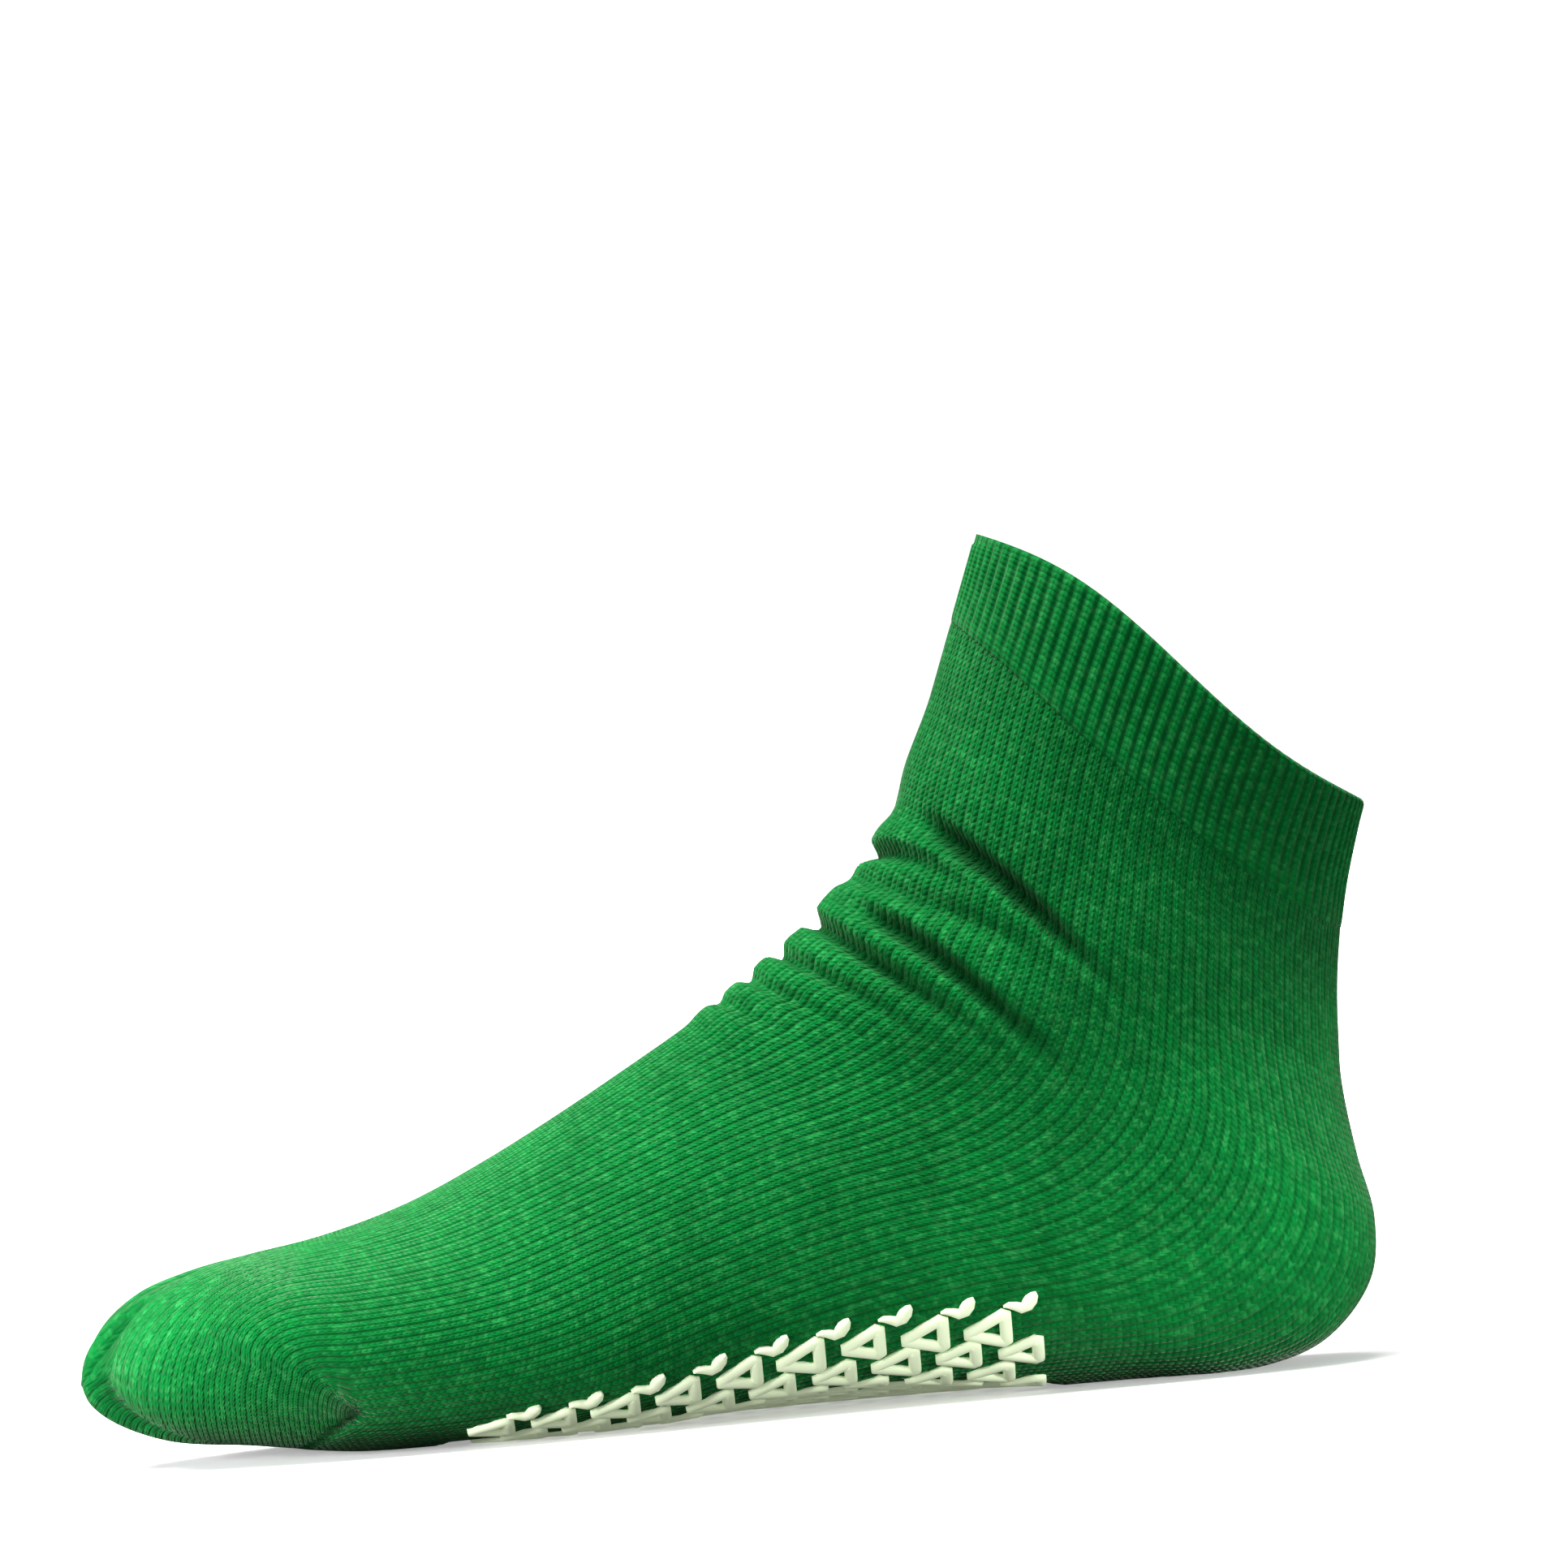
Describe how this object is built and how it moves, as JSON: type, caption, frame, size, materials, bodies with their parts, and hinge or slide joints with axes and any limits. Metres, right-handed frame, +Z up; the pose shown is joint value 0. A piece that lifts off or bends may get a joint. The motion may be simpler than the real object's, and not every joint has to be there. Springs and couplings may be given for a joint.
{
  "type": "slipper sock",
  "caption": "Knitted ankle-high slipper sock in the form of a worn right foot, with a ribbed turned cuff and raised rubber grips under the sole.",
  "frame": {"origin": "on the floor below the middle of the sock's length and width", "axes": "-X towards the toe, +X towards the heel, -Y towards the inner side of the foot, +Z up"},
  "size_m": [0.2504, 0.0944, 0.1606],
  "materials": {
    "green_knit": "matte jersey knit",
    "green_rib": "matte rib knit",
    "cream_rubber": "satin printed rubber"
  },
  "bodies": {
    "root": {"knit_sock": "green_knit", "cuff": "green_rib", "grip_outer3_1": "cream_rubber", "grip_outer3_2": "cream_rubber", "grip_outer3_3": "cream_rubber", "grip_outer3_4": "cream_rubber", "grip_outer3_5": "cream_rubber", "grip_outer3_6": "cream_rubber", "grip_outer3_7": "cream_rubber", "grip_outer3_8": "cream_rubber", "grip_outer3_9": "cream_rubber", "grip_outer2_1": "cream_rubber", "grip_outer2_2": "cream_rubber", "grip_outer2_3": "cream_rubber", "grip_outer2_4": "cream_rubber", "grip_outer2_5": "cream_rubber", "grip_outer2_6": "cream_rubber", "grip_outer2_7": "cream_rubber", "grip_outer2_8": "cream_rubber", "grip_outer2_9": "cream_rubber", "grip_outer1_1": "cream_rubber", "grip_outer1_2": "cream_rubber", "grip_outer1_3": "cream_rubber", "grip_outer1_4": "cream_rubber", "grip_outer1_5": "cream_rubber", "grip_outer1_6": "cream_rubber", "grip_outer1_7": "cream_rubber", "grip_outer1_8": "cream_rubber", "grip_outer1_9": "cream_rubber", "grip_inner1_1": "cream_rubber", "grip_inner1_2": "cream_rubber", "grip_inner1_3": "cream_rubber", "grip_inner1_4": "cream_rubber", "grip_inner1_5": "cream_rubber", "grip_inner1_6": "cream_rubber", "grip_inner1_7": "cream_rubber", "grip_inner1_8": "cream_rubber", "grip_inner1_9": "cream_rubber", "grip_inner2_1": "cream_rubber", "grip_inner2_2": "cream_rubber", "grip_inner2_3": "cream_rubber", "grip_inner2_4": "cream_rubber", "grip_inner2_5": "cream_rubber", "grip_inner2_6": "cream_rubber", "grip_inner2_7": "cream_rubber", "grip_inner2_8": "cream_rubber", "grip_inner2_9": "cream_rubber", "grip_inner3_1": "cream_rubber", "grip_inner3_2": "cream_rubber", "grip_inner3_3": "cream_rubber", "grip_inner3_4": "cream_rubber", "grip_inner3_5": "cream_rubber", "grip_inner3_6": "cream_rubber", "grip_inner3_7": "cream_rubber", "grip_inner3_8": "cream_rubber", "grip_inner3_9": "cream_rubber"}
  },
  "joints": []
}
